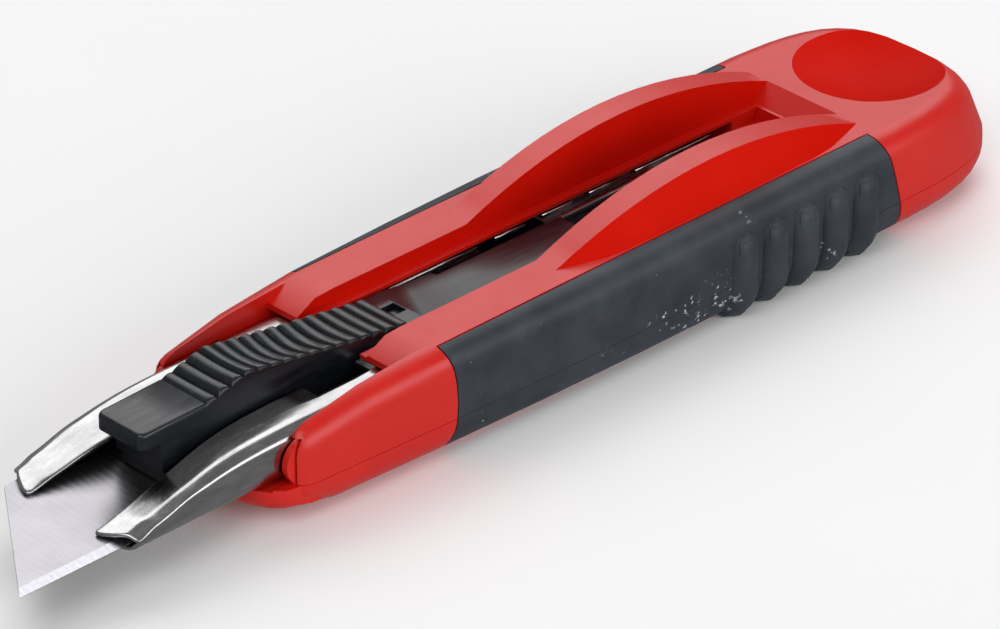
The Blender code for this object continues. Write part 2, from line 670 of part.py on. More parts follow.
def build_detent_spring():
    """A strip of spring steel on edge whose bent nose clicks past the notches in the far lip."""
    path = [(70.4, 1.0), (75.4, 1.0), (83.6, 3.0), (85.4, 4.2), (86.6, 4.2), (88.4, 3.0), (90.6, 2.6)]
    bm = bmesh.new()
    low = [bm.verts.new((x, y, 9.2)) for x, y in path]
    high = [bm.verts.new((x, y, 10.7)) for x, y in path]
    for index in range(len(path) - 1):
        bm.faces.new((low[index], low[index + 1], high[index + 1], high[index]))
    spring = make_object("detent_spring", bm, SPRING_STEEL)
    strip = spring.modifiers.new("strip", "SOLIDIFY")
    strip.thickness = 0.4 * MM
    strip.offset = 0.0
    return spring


# ---------------------------------------------------------------- hatch and fasteners

def build_hatch():
    """The hinged tray in the underside: a plate with low walls and a barrel on the hinge pin."""
    hinge = (HINGE_X, 0, HINGE_Z)
    rear = HINGE_X - 3.1
    hatch = make_object("storage_hatch", across(HATCH_HALF, HATCH_FRONT_X, rear, 0, HATCH_PLATE),
                        RED_ABS, origin=hinge)
    for side_name, side in SIDES:
        wall = box(HATCH_FRONT_X + 2.2, rear - 0.3, side * 9.7, side * (HATCH_HALF - 0.1), 1.0, 3.8)
        combine(hatch, make_cutter("tray_wall_" + side_name, wall), "UNION")
    arm = across(BARREL_HALF - 0.3, rear - 2, HINGE_X, 0.3, HATCH_PLATE - 0.3)
    combine(hatch, make_cutter("hinge_arm", arm), "UNION")
    barrel = cylinder(1.8, (HINGE_X, -BARREL_HALF, HINGE_Z), (HINGE_X, BARREL_HALF, HINGE_Z))
    combine(hatch, make_cutter("hinge_barrel", barrel), "UNION")
    bore = cylinder(HINGE_PIN_RADIUS + JOIN, (HINGE_X, -9, HINGE_Z), (HINGE_X, 9, HINGE_Z), 16)
    combine(hatch, make_cutter("barrel_bore", bore))
    return hatch


def turned(profile, x, y, steps):
    """A solid turned about an upright axis at (x, y) from a profile of (radius, z) points."""
    bm = bmesh.new()
    points = [bm.verts.new((radius, 0, z)) for radius, z in profile]
    edges = [bm.edges.new(pair) for pair in zip(points, points[1:])]
    bmesh.ops.spin(bm, geom=points + edges, cent=(0, 0, 0), axis=(0, 0, 1), angle=math.tau,
                   steps=steps, use_merge=True)
    bmesh.ops.remove_doubles(bm, verts=bm.verts, dist=0.001)
    bmesh.ops.translate(bm, vec=(x, y, 0), verts=bm.verts)
    return bm


def build_rivets():
    """Two dome-headed rivets that hold the rear of the channel down on the lower shell."""
    head_z = CHANNEL_FLOOR_Z + CHANNEL_SHEET + 0.1
    profile = [(0.0, 2.5), (RIVET_RADIUS, 2.5), (RIVET_RADIUS, head_z), (2.2, head_z),
               (2.0, head_z + 0.5), (1.2, head_z + 0.95), (0.0, head_z + 1.1)]
    for side_name, side in SIDES:
        shape = turned(profile, CHANNEL_RIVET_X, side * CHANNEL_RIVET_Y, 16)
        make_object("channel_rivet_" + side_name, shape, ZINC_STEEL)


def build_screws():
    """Self-tapping screws with cross-recessed heads, driven up from the underside."""
    profile = [(0.0, 0.4), (2.6, 0.4), (2.6, 2.2), (1.3, 2.4), (1.3, 9.0), (0.0, 10.2)]
    bars = {"x": (1.5, 0.3), "y": (0.3, 1.5)}
    for name, x, y in SCREW_PLACES:
        screw = make_object("shell_screw_" + name, turned(profile, x, y, 20), ZINC_STEEL)
        for direction, (half_x, half_y) in bars.items():
            bar = box(x - half_x, x + half_x, y - half_y, y + half_y, -1, 1.3)
            combine(screw, make_cutter("cross_%s_%s" % (direction, name), bar))


# ---------------------------------------------------------------- assembly

build_upper_shell()
build_lower_shell()
build_grips()
build_channel()
make_object("cutting_blade", blade_shape(0.0, BLADE_Z), BLADE_STEEL)
build_thumb_slide()
build_carrier()
build_detent_spring()
build_hatch()
hinge_pin = cylinder(HINGE_PIN_RADIUS, (HINGE_X, -11, HINGE_Z), (HINGE_X, 11, HINGE_Z), 20)
make_object("hatch_pin", hinge_pin, ZINC_STEEL)
for number in range(3):
    spare = blade_shape(HATCH_FRONT_X + 1.6, HATCH_PLATE + 0.2 + 0.8 * number)
    make_object("spare_blade_%d" % (number + 1), spare, BLADE_STEEL)
build_rivets()
build_screws()
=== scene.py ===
"""Retractable utility knife on a pale floor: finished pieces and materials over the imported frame.

Lengths are in metres; MM turns millimetres into metres.  X runs from the blade's point (-X) to the
back of the handle (+X), the cutting edge is at -Y and the knife rests on its underside at Z = 0.
"""

import json
import math

import bmesh
import bpy
from mathutils import Matrix, Vector

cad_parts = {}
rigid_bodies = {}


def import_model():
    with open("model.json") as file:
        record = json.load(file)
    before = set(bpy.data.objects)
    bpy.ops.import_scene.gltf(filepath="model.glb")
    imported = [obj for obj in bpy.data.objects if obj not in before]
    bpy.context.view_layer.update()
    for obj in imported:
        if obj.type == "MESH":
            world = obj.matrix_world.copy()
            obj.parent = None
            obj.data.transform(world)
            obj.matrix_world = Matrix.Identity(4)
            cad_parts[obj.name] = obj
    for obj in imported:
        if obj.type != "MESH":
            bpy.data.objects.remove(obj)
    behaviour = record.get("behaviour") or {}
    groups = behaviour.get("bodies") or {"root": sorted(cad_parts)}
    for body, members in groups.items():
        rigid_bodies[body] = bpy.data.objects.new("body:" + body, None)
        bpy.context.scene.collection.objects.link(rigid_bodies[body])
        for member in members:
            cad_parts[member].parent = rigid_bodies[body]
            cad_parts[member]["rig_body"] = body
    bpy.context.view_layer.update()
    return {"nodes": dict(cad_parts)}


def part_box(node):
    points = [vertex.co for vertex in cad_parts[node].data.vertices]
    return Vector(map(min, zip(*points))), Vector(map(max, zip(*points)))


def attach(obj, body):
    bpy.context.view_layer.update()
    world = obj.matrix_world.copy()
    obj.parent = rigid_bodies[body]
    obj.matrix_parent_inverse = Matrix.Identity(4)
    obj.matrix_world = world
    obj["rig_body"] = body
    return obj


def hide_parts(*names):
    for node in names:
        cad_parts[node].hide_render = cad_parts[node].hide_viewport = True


MM = 0.001

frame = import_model()
scene = bpy.context.scene
scene.view_settings.view_transform = "Standard"
scene.cycles.use_denoising = True


# ---------------------------------------------------------------- camera and light

CAMERA_AZIMUTH = math.radians(44.244)
CAMERA_ELEVATION = math.radians(30.314)
CAMERA_PLACE = Vector((-0.47239, -0.48846, 0.40366))
CAMERA_LENS_MM = 237.1
SENSOR_WIDTH_MM = 36.0
ROOM_COLOUR = (0.98, 0.98, 1.0, 1.0)
ROOM_BRIGHTNESS = 0.25


def aim(obj, place, forward, up=Vector((0, 0, 1))):
    """Puts an object at a place, looking along `forward` with its top towards `up`."""
    forward = forward.normalized()
    right = forward.cross(up).normalized()
    top = right.cross(forward)
    turn = Matrix((right, top, -forward)).transposed()
    obj.matrix_world = Matrix.Translation(place) @ turn.to_4x4()


def softbox(name, direction, distance, size, watts):
    """A rectangular area light that looks back at the knife from `direction`."""
    light = bpy.data.lights.new(name, "AREA")
    light.shape = "RECTANGLE"
    light.size, light.size_y = size
    light.energy = watts
    obj = bpy.data.objects.new(name, light)
    scene.collection.objects.link(obj)
    direction = Vector(direction).normalized()
    aim(obj, direction * distance, -direction)


camera_data = bpy.data.cameras.new("camera")
camera_data.lens = CAMERA_LENS_MM
camera_data.sensor_width = SENSOR_WIDTH_MM
camera_data.clip_start = 10 * MM
camera = bpy.data.objects.new("camera", camera_data)
scene.collection.objects.link(camera)
aim(camera, CAMERA_PLACE, Vector((math.sin(CAMERA_AZIMUTH) * math.cos(CAMERA_ELEVATION),
                                  math.cos(CAMERA_AZIMUTH) * math.cos(CAMERA_ELEVATION),
                                  -math.sin(CAMERA_ELEVATION))))
scene.camera = camera

world = bpy.data.worlds.new("studio")
world.use_nodes = True
background = world.node_tree.nodes["Background"]
background.inputs["Color"].default_value = ROOM_COLOUR
background.inputs["Strength"].default_value = ROOM_BRIGHTNESS
scene.world = world

# behind the knife: its soft reflection washes every level face
softbox("back_softbox", (0.52, 0.54, 0.80), 1.3, (1.5, 1.1), 11.0)
# high on the left: shapes the long near side
softbox("left_softbox", (-0.9, -0.35, 1.0), 1.4, (0.8, 0.8), 6.0)
# low in front of the near side
softbox("front_softbox", (0.1, -1.0, 0.4), 1.5, (2.0, 0.8), 14.0)


# ---------------------------------------------------------------- material helpers

# the sockets of a Mix node that are used when it mixes colours
SHARE, FIRST, SECOND, MIXED = 0, 6, 7, 2


def linear(code):
    """An sRGB hex colour as linear RGBA."""
    channels = [int(code[start:start + 2], 16) / 255 for start in (1, 3, 5)]
    turned = [c / 12.92 if c <= 0.04045 else ((c + 0.055) / 1.055) ** 2.4 for c in channels]
    return (*turned, 1.0)


def connect(tree, node, inputs):
    """Sets inputs: each value is a number, a vector, a colour or another node's output."""
    for name, value in inputs.items():
        if isinstance(value, bpy.types.NodeSocket):
            tree.links.new(value, node.inputs[name])
        else:
            node.inputs[name].default_value = value


def add(tree, kind, output, inputs, **settings):
    """Adds a shader node with its settings and links, and returns one of its outputs."""
    node = tree.nodes.new("ShaderNode" + kind)
    for name, value in settings.items():
        setattr(node, name, value)
    connect(tree, node, inputs)
    return node.outputs[output]


def start(name, constants):
    """A new material with its shader's constants, its node tree and its object coordinates."""
    material = bpy.data.materials.new(name)
    material.use_nodes = True
    tree = material.node_tree
    shader = tree.nodes["Principled BSDF"]
    connect(tree, shader, constants)
    return material, tree, shader, add(tree, "TexCoord", "Object", {})


def specks(tree, place, spacing, radius, share):
    """Scattered dots, 1 inside a dot. Cells are `spacing` wide, and only a share of them has one."""
    distance = add(tree, "TexVoronoi", "Distance", {"Vector": place, "Scale": 1 / spacing, "Randomness": 1.0})
    lot = add(tree, "SeparateColor", "Red", {"Color": distance.node.outputs["Color"]})
    size = add(tree, "MapRange", "Result",
               {"Value": lot.node.outputs["Green"], "To Min": 0.35, "To Max": 1.0})
    edge = add(tree, "Math", "Value", {0: size, 1: radius / spacing}, operation="MULTIPLY")
    depth = add(tree, "Math", "Value", {0: edge, 1: distance}, operation="SUBTRACT")
    inside = add(tree, "MapRange", "Result", {"Value": depth, "From Min": 0.0, "From Max": 0.05})
    chosen = add(tree, "Math", "Value", {0: lot, 1: share}, operation="LESS_THAN")
    return add(tree, "Math", "Value", {0: inside, 1: chosen}, operation="MULTIPLY")


# ---------------------------------------------------------------- materials

def red_abs(name, specular, smoothest, roughest):
    """Injection-moulded ABS: clean saturated red, a faint orange-peel ripple about 1.5 mm across,
    softer haze patches and a few pin-head moulding flecks."""
    material, tree, shader, place = start(name, {"IOR": 1.5, "Specular IOR Level": specular})
    cloud = add(tree, "TexNoise", "Fac", {"Vector": place, "Scale": 1 / (9 * MM), "Detail": 3.0})
    cloud = add(tree, "MapRange", "Result", {"Value": cloud, "From Min": 0.3, "From Max": 0.7})
    colour = add(tree, "Mix", MIXED, {SHARE: cloud, FIRST: linear("#C61205"), SECOND: linear("#CC1608")},
                 data_type="RGBA")
    fleck = specks(tree, place, 4.2 * MM, 0.16 * MM, 0.10)
    paleness = add(tree, "Math", "Value", {0: fleck, 1: 0.55}, operation="MULTIPLY")
    colour = add(tree, "Mix", MIXED, {SHARE: paleness, FIRST: colour, SECOND: linear("#F2B3AB")},
                 data_type="RGBA")
    haze = add(tree, "TexNoise", "Fac",
               {"Vector": place, "Scale": 1 / (3.5 * MM), "Detail": 4.0, "Roughness": 0.6})
    haze = add(tree, "MapRange", "Result", {"Value": haze, "From Min": 0.3, "From Max": 0.7,
                                            "To Min": smoothest, "To Max": roughest})
    ripple = add(tree, "TexNoise", "Fac", {"Vector": place, "Scale": 1 / (1.5 * MM), "Detail": 1.0})
    grain = add(tree, "TexNoise", "Fac", {"Vector": place, "Scale": 1 / (0.25 * MM), "Detail": 2.0})
    height = add(tree, "Math", "Value", {0: grain, 1: 0.25, 2: fleck}, operation="MULTIPLY_ADD")
    height = add(tree, "Math", "Value", {0: ripple, 1: 0.6, 2: height}, operation="MULTIPLY_ADD")
    normal = add(tree, "Bump", "Normal", {"Height": height, "Strength": 1.0, "Distance": 0.012 * MM})
    connect(tree, shader, {"Base Color": colour, "Roughness": haze, "Normal": normal})
    return material


def soft_grip_rubber():
    """Over-moulded thermoplastic rubber: dark slate, dull, with a fine spark-eroded grain, pale
    dust specks that cling to it and a few rubbed scuffs. The grain is drawn 0.35 mm coarse so
    that it shows."""
    material, tree, shader, place = start("soft_grip_rubber", {"IOR": 1.48, "Specular IOR Level": 0.4})
    cloud = add(tree, "TexNoise", "Fac",
                {"Vector": place, "Scale": 1 / (6 * MM), "Detail": 4.0, "Roughness": 0.6})
    cloud = add(tree, "MapRange", "Result", {"Value": cloud, "From Min": 0.3, "From Max": 0.7})
    colour = add(tree, "Mix", MIXED, {SHARE: cloud, FIRST: linear("#272C32"), SECOND: linear("#383E46")},
                 data_type="RGBA")
    dust = specks(tree, place, 2.3 * MM, 0.2 * MM, 0.36)
    squeezed = add(tree, "Mapping", "Vector", {"Vector": place, "Scale": (1.0, 1.3, 0.8)})
    fine_dust = specks(tree, squeezed, 1.1 * MM, 0.09 * MM, 0.25)
    flattened = add(tree, "Mapping", "Vector", {"Vector": place, "Scale": (1.0, 1.0, 1.6)})
    patch = add(tree, "TexNoise", "Fac", {"Vector": flattened, "Scale": 1 / (17 * MM), "Detail": 1.0})
    patch = add(tree, "MapRange", "Result", {"Value": patch, "From Min": 0.62, "From Max": 0.68})
    grit = add(tree, "TexNoise", "Fac",
               {"Vector": place, "Scale": 1 / (1.1 * MM), "Detail": 4.0, "Roughness": 0.7})
    grit = add(tree, "MapRange", "Result", {"Value": grit, "From Min": 0.60, "From Max": 0.64})
    scuff = add(tree, "Math", "Value", {0: patch, 1: grit}, operation="MULTIPLY")
    scuff = add(tree, "Math", "Value", {0: scuff, 1: 0.9}, operation="MULTIPLY")
    dust = add(tree, "Math", "Value", {0: dust, 1: 0.7}, operation="MULTIPLY")
    fine_dust = add(tree, "Math", "Value", {0: fine_dust, 1: 0.4}, operation="MULTIPLY")
    dust = add(tree, "Math", "Value", {0: dust, 1: fine_dust}, operation="MAXIMUM")
    pale = add(tree, "Math", "Value", {0: dust, 1: scuff}, operation="MAXIMUM")
    colour = add(tree, "Mix", MIXED, {SHARE: pale, FIRST: colour, SECOND: linear("#C9CED6")},
                 data_type="RGBA")
    roughness = add(tree, "MapRange", "Result", {"Value": pale, "To Min": 0.5, "To Max": 0.8})
    grain = add(tree, "TexNoise", "Fac", {"Vector": place, "Scale": 1 / (0.35 * MM), "Detail": 2.0})
    normal = add(tree, "Bump", "Normal", {"Height": grain, "Strength": 1.0, "Distance": 0.02 * MM})
    connect(tree, shader, {"Base Color": colour, "Roughness": roughness, "Normal": normal})
    return material


def moulded_black_nylon(name, smoothest, roughest):
    """Glass-filled nylon, moulded in a polished tool: near black, satin, with faint flow streaks
    along the part and tiny rubbed marks."""
    material, tree, shader, place = start(name, {"IOR": 1.53, "Specular IOR Level": 0.5})
    lengthwise = add(tree, "Mapping", "Vector", {"Vector": place, "Scale": (0.12, 1.0, 1.0)})
    streak = add(tree, "TexNoise", "Fac",
                 {"Vector": lengthwise, "Scale": 1 / (0.8 * MM), "Detail": 3.0, "Roughness": 0.6})
    tint = add(tree, "MapRange", "Result", {"Value": streak, "From Min": 0.35, "From Max": 0.7})
    colour = add(tree, "Mix", MIXED, {SHARE: tint, FIRST: linear("#0A0D12"), SECOND: linear("#151A20")},
                 data_type="RGBA")
    dust = specks(tree, place, 2.0 * MM, 0.11 * MM, 0.14)
    dust = add(tree, "Math", "Value", {0: dust, 1: 0.5}, operation="MULTIPLY")
    colour = add(tree, "Mix", MIXED, {SHARE: dust, FIRST: colour, SECOND: linear("#A9ADB5")},
                 data_type="RGBA")
    roughness = add(tree, "MapRange", "Result", {"Value": streak, "From Min": 0.3, "From Max": 0.7,
                                                 "To Min": smoothest, "To Max": roughest})
    grain = add(tree, "TexNoise", "Fac", {"Vector": place, "Scale": 1 / (0.3 * MM), "Detail": 2.0})
    normal = add(tree, "Bump", "Normal", {"Height": grain, "Strength": 1.0, "Distance": 0.010 * MM})
    connect(tree, shader, {"Base Color": colour, "Roughness": roughness, "Normal": normal})
    return material


def rolled_stainless_sheet():
    """Cold-rolled stainless: bright, slightly blurred reflections with hairline drawing scratches
    along the sheet, 0.15 mm apart, and a few deeper rubs."""
    material, tree, shader, place = start("rolled_stainless_sheet", {"Metallic": 1.0})
    lengthwise = add(tree, "Mapping", "Vector", {"Vector": place, "Scale": (0.02, 1.0, 1.0)})
    hair = add(tree, "TexNoise", "Fac",
               {"Vector": lengthwise, "Scale": 1 / (0.15 * MM), "Detail": 3.0, "Roughness": 0.6})
    drawn_out = add(tree, "Mapping", "Vector", {"Vector": place, "Scale": (0.25, 1.0, 1.0)})
    rub = add(tree, "TexNoise", "Fac",
              {"Vector": drawn_out, "Scale": 1 / (1.8 * MM), "Detail": 4.0, "Roughness": 0.7})
    tint = add(tree, "MapRange", "Result", {"Value": rub, "From Min": 0.35, "From Max": 0.65})
    colour = add(tree, "Mix", MIXED, {SHARE: tint, FIRST: linear("#9C9B9C"), SECOND: linear("#B8B7B8")},
                 data_type="RGBA")
    scratches = add(tree, "MapRange", "Result", {"Value": hair, "From Min": 0.3, "From Max": 0.7})
    rubbing = add(tree, "MapRange", "Result",
                  {"Value": rub, "From Min": 0.4, "From Max": 0.7, "To Min": 0.4, "To Max": 1.0})
    wear = add(tree, "Math", "Value", {0: scratches, 1: rubbing}, operation="MULTIPLY")
    roughness = add(tree, "MapRange", "Result", {"Value": wear, "To Min": 0.16, "To Max": 0.32})
    normal = add(tree, "Bump", "Normal", {"Height": hair, "Strength": 1.0, "Distance": 0.0035 * MM})
    connect(tree, shader, {"Base Color": colour, "Roughness": roughness, "Normal": normal})
    return material


def ground_blade_steel(edge_y):
    """Carbon blade steel: satin with faint overlapping swirl marks from tumbling, and a brighter
    edge bevel, up to `edge_y`, ground straight across."""
    material, tree, shader, place = start("ground_blade_steel", {"Metallic": 1.0})
    across = add(tree, "SeparateXYZ", "Y", {"Vector": place})
    on_bevel = add(tree, "Math", "Value", {0: across, 1: edge_y}, operation="LESS_THAN")
    flat = add(tree, "Mapping", "Vector", {"Vector": place, "Scale": (1.0, 1.0, 0.0)})
    swirl = add(tree, "TexWave", "Fac", {"Vector": flat, "Scale": 1 / (3.4 * MM), "Distortion": 9.0,
                                         "Detail": 2.0, "Detail Scale": 0.35},
                wave_type="RINGS", rings_direction="Z")
    cloud = add(tree, "TexNoise", "Fac", {"Vector": place, "Scale": 1 / (5 * MM), "Detail": 3.0})
    cloud = add(tree, "MapRange", "Result", {"Value": cloud, "From Min": 0.3, "From Max": 0.7})
    face = add(tree, "Mix", MIXED, {SHARE: cloud, FIRST: linear("#99979C"), SECOND: linear("#A3A1A6")},
               data_type="RGBA")
    crest = add(tree, "MapRange", "Result", {"Value": swirl, "From Min": 0.55, "From Max": 1.0})
    crest = add(tree, "Math", "Value", {0: crest, 1: 0.10}, operation="MULTIPLY")
    face = add(tree, "Mix", MIXED, {SHARE: crest, FIRST: face, SECOND: linear("#E4E3E4")},
               data_type="RGBA")
    crosswise = add(tree, "Mapping", "Vector", {"Vector": place, "Scale": (1.0, 0.03, 1.0)})
    grind = add(tree, "TexNoise", "Fac", {"Vector": crosswise, "Scale": 1 / (0.12 * MM), "Detail": 2.0})
    tint = add(tree, "MapRange", "Result", {"Value": grind, "From Min": 0.35, "From Max": 0.65})
    bevel = add(tree, "Mix", MIXED, {SHARE: tint, FIRST: linear("#A6A5AB"), SECOND: linear("#B9B8BE")},
                data_type="RGBA")
    colour = add(tree, "Mix", MIXED, {SHARE: on_bevel, FIRST: face, SECOND: bevel}, data_type="RGBA")
    roughness = add(tree, "MapRange", "Result", {"Value": swirl, "To Min": 0.30, "To Max": 0.36})
    height = add(tree, "Math", "Value", {0: swirl, 1: 0.25, 2: grind}, operation="MULTIPLY_ADD")
    normal = add(tree, "Bump", "Normal", {"Height": height, "Strength": 1.0, "Distance": 0.0015 * MM})
    connect(tree, shader, {"Base Color": colour, "Roughness": roughness, "Normal": normal})
    return material


def blued_spring_steel():
    """Hardened strip: a straw-grey temper tone with length-wise rolling lines."""
    material, tree, shader, place = start("blued_spring_steel", {"Metallic": 1.0})
    lengthwise = add(tree, "Mapping", "Vector", {"Vector": place, "Scale": (0.05, 1.0, 1.0)})
    lines = add(tree, "TexNoise", "Fac", {"Vector": lengthwise, "Scale": 1 / (0.2 * MM), "Detail": 2.0})
    tint = add(tree, "MapRange", "Result", {"Value": lines, "From Min": 0.3, "From Max": 0.7})
    colour = add(tree, "Mix", MIXED, {SHARE: tint, FIRST: linear("#8C8A8A"), SECOND: linear("#B3B0AC")},
                 data_type="RGBA")
    roughness = add(tree, "MapRange", "Result", {"Value": tint, "To Min": 0.22, "To Max": 0.34})
    normal = add(tree, "Bump", "Normal", {"Height": lines, "Strength": 1.0, "Distance": 0.003 * MM})
    connect(tree, shader, {"Base Color": colour, "Roughness": roughness, "Normal": normal})
    return material


def zinc_plated_steel():
    """Bright zinc plate: cool grey with a soft mottled haze a few tenths of a millimetre wide."""
    material, tree, shader, place = start("zinc_plated_steel", {"Metallic": 1.0})
    haze = add(tree, "TexNoise", "Fac", {"Vector": place, "Scale": 1 / (0.6 * MM), "Detail": 3.0})
    tint = add(tree, "MapRange", "Result", {"Value": haze, "From Min": 0.3, "From Max": 0.7})
    colour = add(tree, "Mix", MIXED, {SHARE: tint, FIRST: linear("#A9ACB0"), SECOND: linear("#C8CBCF")},
                 data_type="RGBA")
    roughness = add(tree, "MapRange", "Result", {"Value": tint, "To Min": 0.24, "To Max": 0.38})
    normal = add(tree, "Bump", "Normal", {"Height": haze, "Strength": 1.0, "Distance": 0.004 * MM})
    connect(tree, shader, {"Base Color": colour, "Roughness": roughness, "Normal": normal})
    return material


def matt_white_board():
    """Painted board for the floor: flat white with a barely visible roller texture."""
    material, tree, shader, place = start("matt_white_board",
                                          {"IOR": 1.45, "Specular IOR Level": 0.2, "Roughness": 0.7})
    cloud = add(tree, "TexNoise", "Fac", {"Vector": place, "Scale": 1 / (60 * MM), "Detail": 2.0})
    colour = add(tree, "Mix", MIXED, {SHARE: cloud, FIRST: linear("#F7F7F7"), SECOND: linear("#FBFBFB")},
                 data_type="RGBA")
    connect(tree, shader, {"Base Color": colour})
    return material


EDGE_BEVEL = 1.35 * MM

RED = red_abs("satin_moulded_red_abs", 0.5, 0.34, 0.41)
# moulded against a polished core: hardly any haze over the colour, so it reads deep red
POLISHED_RED = red_abs("polished_moulded_red_abs", 0.02, 0.4, 0.5)
GRIP = soft_grip_rubber()
NYLON = moulded_black_nylon("moulded_black_nylon", 0.26, 0.40)
NYLON_TAIL = moulded_black_nylon("polished_black_nylon", 0.28, 0.38)
STAINLESS = rolled_stainless_sheet()
BLADE = ground_blade_steel(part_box("cutting_blade")[0].y + EDGE_BEVEL)
SPRING = blued_spring_steel()
ZINC = zinc_plated_steel()


# ---------------------------------------------------------------- making a piece

def new_piece(bm, name, material):
    """Makes a bmesh drawn in metres a smooth-shaded object with one material."""
    mesh = bpy.data.meshes.new(name)
    bm.to_mesh(mesh)
    bm.free()
    mesh.materials.append(material)
    mesh.shade_smooth()
    piece = bpy.data.objects.new(name, mesh)
    scene.collection.objects.link(piece)
    return piece


def modify(piece, kind, **settings):
    """Adds a modifier with its settings."""
    modifier = piece.modifiers.new(kind.lower(), kind)
    for name, value in settings.items():
        setattr(modifier, name, value)


def softened(node, name, material, width, shape=None):
    """A finished copy of a CAD node: welded, with every sharp edge rounded by `width`."""
    cad = frame["nodes"][node]
    bm = bmesh.new()
    bm.from_mesh(cad.data)
    bmesh.ops.remove_doubles(bm, verts=bm.verts, dist=0.0015 * MM)
    bmesh.ops.dissolve_limit(bm, angle_limit=math.radians(0.6), verts=bm.verts, edges=bm.edges)
    if shape:
        shape(bm)
    piece = new_piece(bm, name, material)
    modify(piece, "BEVEL", width=width, segments=3, limit_method="ANGLE", angle_limit=math.radians(32),
           miter_outer="MITER_ARC", use_clamp_overlap=True)
    modify(piece, "WEIGHTED_NORMAL", keep_sharp=True, weight=60)
    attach(piece, cad["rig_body"])
    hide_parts(node)
    return piece


def finish_piece(bm, name, material, body):
    """Makes a new bmesh a finished piece that rides on a body."""
    bmesh.ops.recalc_face_normals(bm, faces=bm.faces)
    piece = new_piece(bm, name, material)
    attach(piece, body)
    return piece


def block(low, high):
    """A bmesh box between two corners."""
    bm = bmesh.new()
    bmesh.ops.create_cube(bm, size=1.0)
    bmesh.ops.scale(bm, vec=high - low, verts=bm.verts)
    bmesh.ops.translate(bm, vec=(low + high) / 2, verts=bm.verts)
    return bm


def cut_out(piece, low, high):
    """Cuts a box out of a piece and keeps the result as its mesh."""
    mesh = bpy.data.meshes.new("cutter")
    bm = block(low, high)
    bm.to_mesh(mesh)
    bm.free()
    cutter = bpy.data.objects.new("cutter", mesh)
    scene.collection.objects.link(cutter)
    modify(piece, "BOOLEAN", object=cutter, solver="EXACT")
    seen = piece.evaluated_get(bpy.context.evaluated_depsgraph_get())
    result = bpy.data.meshes.new_from_object(seen)
    piece.modifiers.clear()
    piece.data = result
    bpy.data.objects.remove(cutter)


def slice_along(bm, places, axis):
    """Cuts a new edge loop at each place along an axis."""
    for place in places:
        bmesh.ops.bisect_plane(bm, geom=bm.verts[:] + bm.edges[:] + bm.faces[:],
                               plane_co=Vector(axis) * place, plane_no=axis)


# ---------------------------------------------------------------- handle

def narrow_seam(bm):
    """Lifts a lower moulding's top edge so that only a hairline is left at the seam."""
    seam_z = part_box("lower_grip_right")[1].z
    for vert in bm.verts:
        if abs(vert.co.z - seam_z) < 0.02 * MM:
            vert.co.z += 0.13 * MM


def polish_hollows(bm):
    """Gives the thumb dish and the steep walls of the two fins the polished finish."""
    dish_from_rear, dish_radius = 12.6 * MM, 9.9 * MM
    dish_floor_z, deck_z = 12.0 * MM, 14.87 * MM
    fin_front_x, fin_end_from_rear, fin_foot_z = -12 * MM, 27 * MM, 13.0 * MM
    steep = 0.5
    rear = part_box("upper_shell")[1].x
    centre = Vector((rear - dish_from_rear, 0.0))
    for face in bm.faces:
        middle = face.calc_center_median()
        faces_inward = (centre - middle.xy).dot(face.normal.xy) > 0.0
        in_dish = ((middle.xy - centre).length < dish_radius and dish_floor_z < middle.z < deck_z
                   and faces_inward)
        fin_wall = (fin_front_x < middle.x < rear - fin_end_from_rear and middle.z > fin_foot_z
                    and abs(face.normal.y) > steep)
        if in_dish or fin_wall:
            face.material_index = 1


def finger_rib(name, side, x):
    """A smooth sausage-shaped rib that runs down the side wall and round under the lower corner."""
    across_radius, out_radius = 2.5 * MM, 2.35 * MM
    top_z, bend_z, bend, bend_turn = 12.3 * MM, 5.0 * MM, 4.05 * MM, math.radians(72)
    lowest_z = 0.28 * MM
    # how flat the ends are: a high power keeps the full width almost to the tip
    end_power, end_root = 4.5, 1 / 2.2
    path_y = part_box("upper_grip_left")[1].y - out_radius
    straight = top_z - bend_z
    length = straight + bend * bend_turn
    bm = bmesh.new()
    bmesh.ops.create_uvsphere(bm, u_segments=32, v_segments=48, radius=1.0)
    for vert in bm.verts:
        flat = vert.co.xy
        towards = flat.normalized() if flat.length > 1e-6 else Vector((1.0, 0.0))
        along = math.asin(max(-1.0, min(1.0, vert.co.z))) / (math.pi / 2)
        size = max(0.0, 1 - abs(along) ** end_power) ** end_root
        down = length * (1 - along) / 2
        if down < straight:
            out = Vector((0.0, 1.0, 0.0))
            centre = Vector((0.0, path_y, top_z - down))
        else:
            angle = (down - straight) / bend
            out = Vector((0.0, math.cos(angle), -math.sin(angle)))
            centre = Vector((0.0, path_y - bend, bend_z)) + out * bend
        place = centre + size * (out * towards.y * out_radius + Vector((towards.x * across_radius, 0, 0)))
        vert.co = Vector((x + place.x, side * place.y, max(place.z, lowest_z)))
    finish_piece(bm, name, GRIP, "handle")


# ---------------------------------------------------------------- blade channel

